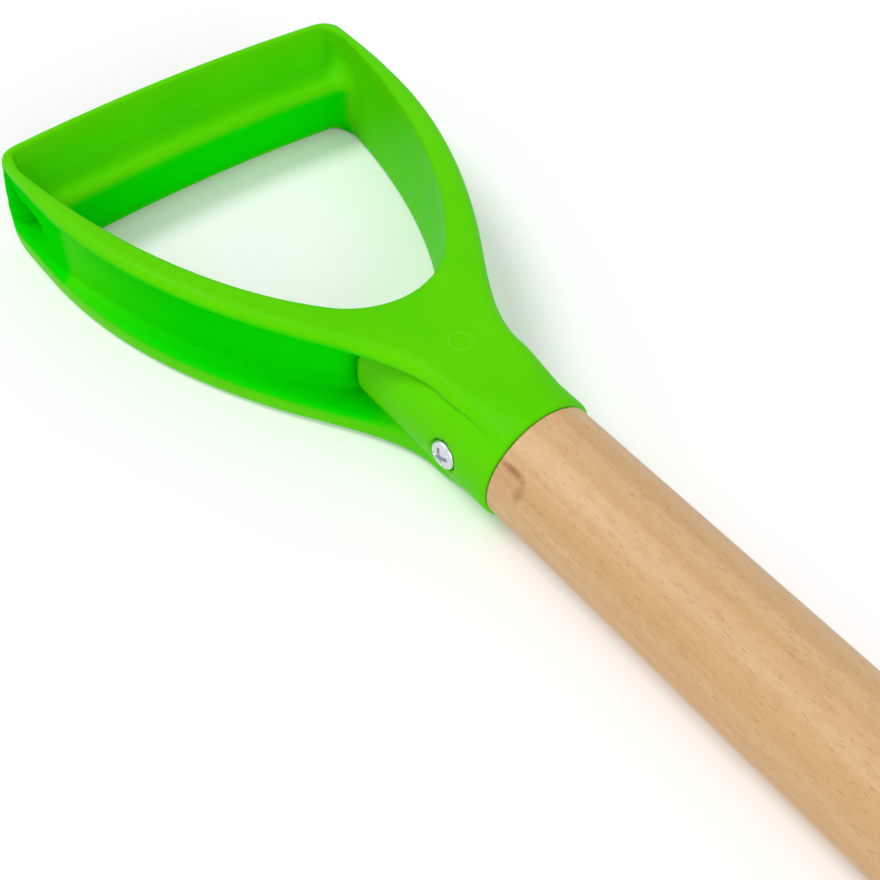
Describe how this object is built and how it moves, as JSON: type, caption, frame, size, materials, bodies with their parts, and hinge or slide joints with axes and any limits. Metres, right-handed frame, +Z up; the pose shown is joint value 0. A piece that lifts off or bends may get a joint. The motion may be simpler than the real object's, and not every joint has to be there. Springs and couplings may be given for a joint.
{
  "type": "childrens spade",
  "caption": "Children's spade: moulded D-handle screwed to a round wooden shaft, and a pressed steel blade with a rolled socket and turned-up treads.",
  "frame": {"origin": "below the middle of the overall length, on the surface that the spade lies on", "axes": "+X along the shaft from the grip to the cutting edge, +Z up out of the blade's face, +Y across"},
  "size_m": [0.702, 0.1396, 0.0279],
  "materials": {
    "handle_plastic": "semi-gloss moulded green plastic",
    "shaft_wood": "pale hardwood, satin varnish",
    "screw_steel": "bright zinc plate",
    "blade_paint": "green powder coat"
  },
  "bodies": {
    "root": {"d_handle": "handle_plastic", "shaft": "shaft_wood", "handle_screw": "screw_steel", "blade": "blade_paint", "blade_screw": "screw_steel"}
  },
  "joints": []
}
